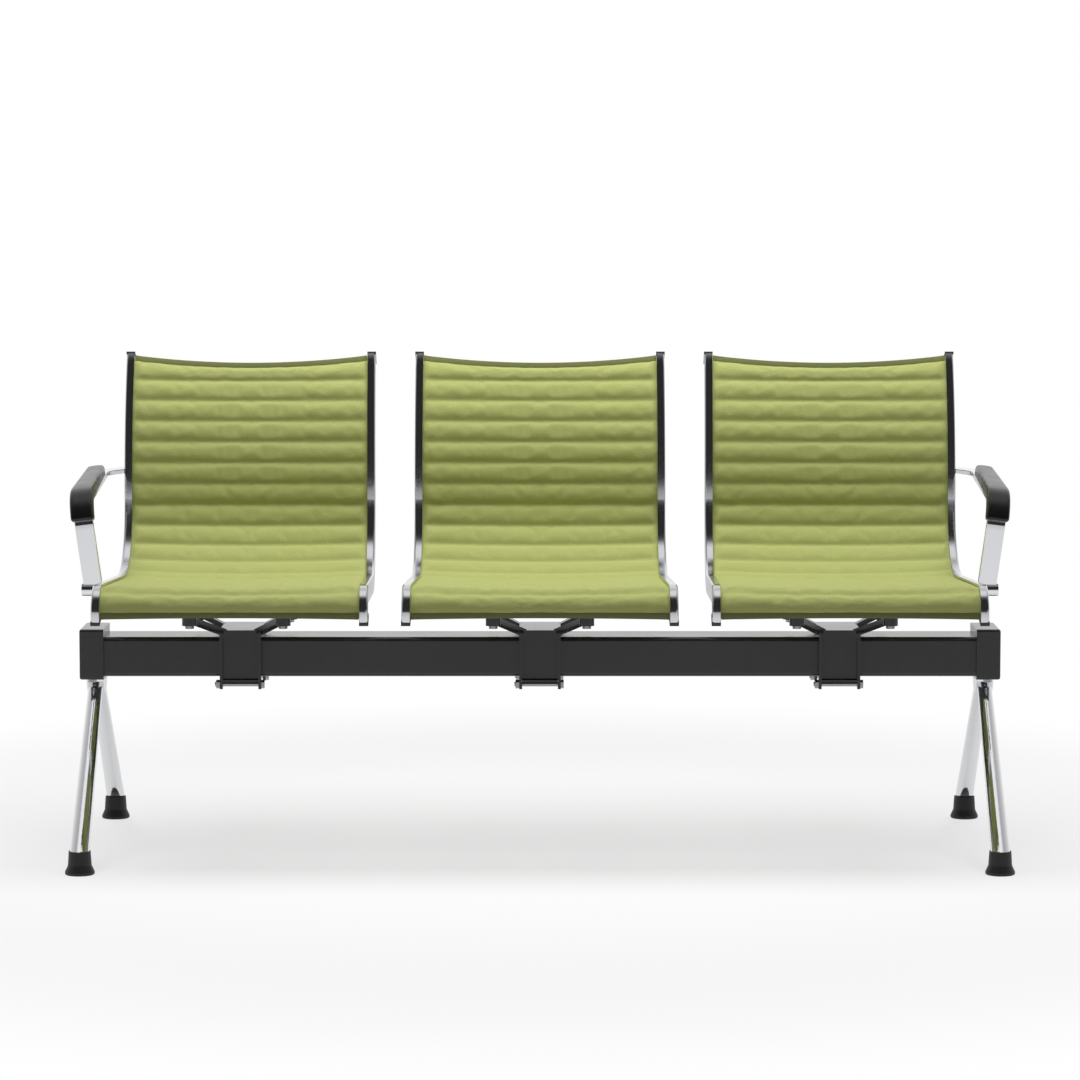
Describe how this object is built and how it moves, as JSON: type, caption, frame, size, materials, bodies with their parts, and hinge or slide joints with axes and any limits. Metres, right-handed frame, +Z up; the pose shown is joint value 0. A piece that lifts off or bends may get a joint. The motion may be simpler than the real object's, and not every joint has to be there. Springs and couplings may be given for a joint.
{
  "type": "beam seating",
  "caption": "Free-standing waiting-room bench: ribbed sling seats side by side on one black beam, with splayed chromed legs, screw-in levelling feet and an arm loop at each outer end.",
  "frame": {"origin": "on the floor, under the middle of the beam", "axes": "+X along the beam, to the right of a person who faces the seats; +Y to the back of the seats; +Z up"},
  "size_m": [1.6208, 0.65, 0.8547],
  "materials": {
    "green_fabric": "woven olive-green upholstery, padded and sewn in ribs",
    "polished_aluminium": "polished cast aluminium",
    "chrome": "bright chrome on steel",
    "black_powder_coat": "satin black powder coat",
    "black_plastic": "matt moulded plastic",
    "black_soft_pad": "self-skinned black foam",
    "zinc_plated_steel": "zinc-plated steel"
  },
  "bodies": {
    "bench": {"beam": "black_powder_coat", "left_head": "black_powder_coat", "left_leg_hub": "chrome", "left_front_leg": "chrome", "left_front_foot_socket": "black_plastic", "left_rear_leg": "chrome", "left_rear_foot_socket": "black_plastic", "left_arm_loop": "chrome", "left_arm_pad": "black_soft_pad", "right_head": "black_powder_coat", "right_leg_hub": "chrome", "right_front_leg": "chrome", "right_front_foot_socket": "black_plastic", "right_rear_leg": "chrome", "right_rear_foot_socket": "black_plastic", "right_arm_loop": "chrome", "right_arm_pad": "black_soft_pad", "left_seat_sling": "green_fabric", "left_seat_left_rail": "polished_aluminium", "left_seat_right_rail": "polished_aluminium", "left_seat_rail_caps": "black_plastic", "left_seat_front_spreader": "polished_aluminium", "left_seat_rear_spreader": "polished_aluminium", "left_seat_back_spreader": "polished_aluminium", "left_seat_saddle": "black_powder_coat", "left_seat_clamp_plate": "black_powder_coat", "middle_seat_sling": "green_fabric", "middle_seat_left_rail": "polished_aluminium", "middle_seat_right_rail": "polished_aluminium", "middle_seat_rail_caps": "black_plastic", "middle_seat_front_spreader": "polished_aluminium", "middle_seat_rear_spreader": "polished_aluminium", "middle_seat_back_spreader": "polished_aluminium", "middle_seat_saddle": "black_powder_coat", "middle_seat_clamp_plate": "black_powder_coat", "right_seat_sling": "green_fabric", "right_seat_left_rail": "polished_aluminium", "right_seat_right_rail": "polished_aluminium", "right_seat_rail_caps": "black_plastic", "right_seat_front_spreader": "polished_aluminium", "right_seat_rear_spreader": "polished_aluminium", "right_seat_back_spreader": "polished_aluminium", "right_seat_saddle": "black_powder_coat", "right_seat_clamp_plate": "black_powder_coat", "head_screws": "zinc_plated_steel", "clamp_bolts": "zinc_plated_steel", "yoke_bolts": "zinc_plated_steel", "spreader_screws": "zinc_plated_steel", "arm_screws": "zinc_plated_steel"},
    "left_front_glide": {"left_front_glide_base": "black_plastic", "left_front_glide_stud": "zinc_plated_steel"},
    "left_rear_glide": {"left_rear_glide_base": "black_plastic", "left_rear_glide_stud": "zinc_plated_steel"},
    "right_front_glide": {"right_front_glide_base": "black_plastic", "right_front_glide_stud": "zinc_plated_steel"},
    "right_rear_glide": {"right_rear_glide_base": "black_plastic", "right_rear_glide_stud": "zinc_plated_steel"}
  },
  "joints": [
    {"name": "left_front_glide_screw", "type": "slide", "parent": "bench", "child": "left_front_glide", "axis": [0, 0, -1], "range_m": [0, 0.012]},
    {"name": "left_rear_glide_screw", "type": "slide", "parent": "bench", "child": "left_rear_glide", "axis": [0, 0, -1], "range_m": [0, 0.012]},
    {"name": "right_front_glide_screw", "type": "slide", "parent": "bench", "child": "right_front_glide", "axis": [0, 0, -1], "range_m": [0, 0.012]},
    {"name": "right_rear_glide_screw", "type": "slide", "parent": "bench", "child": "right_rear_glide", "axis": [0, 0, -1], "range_m": [0, 0.012]}
  ]
}
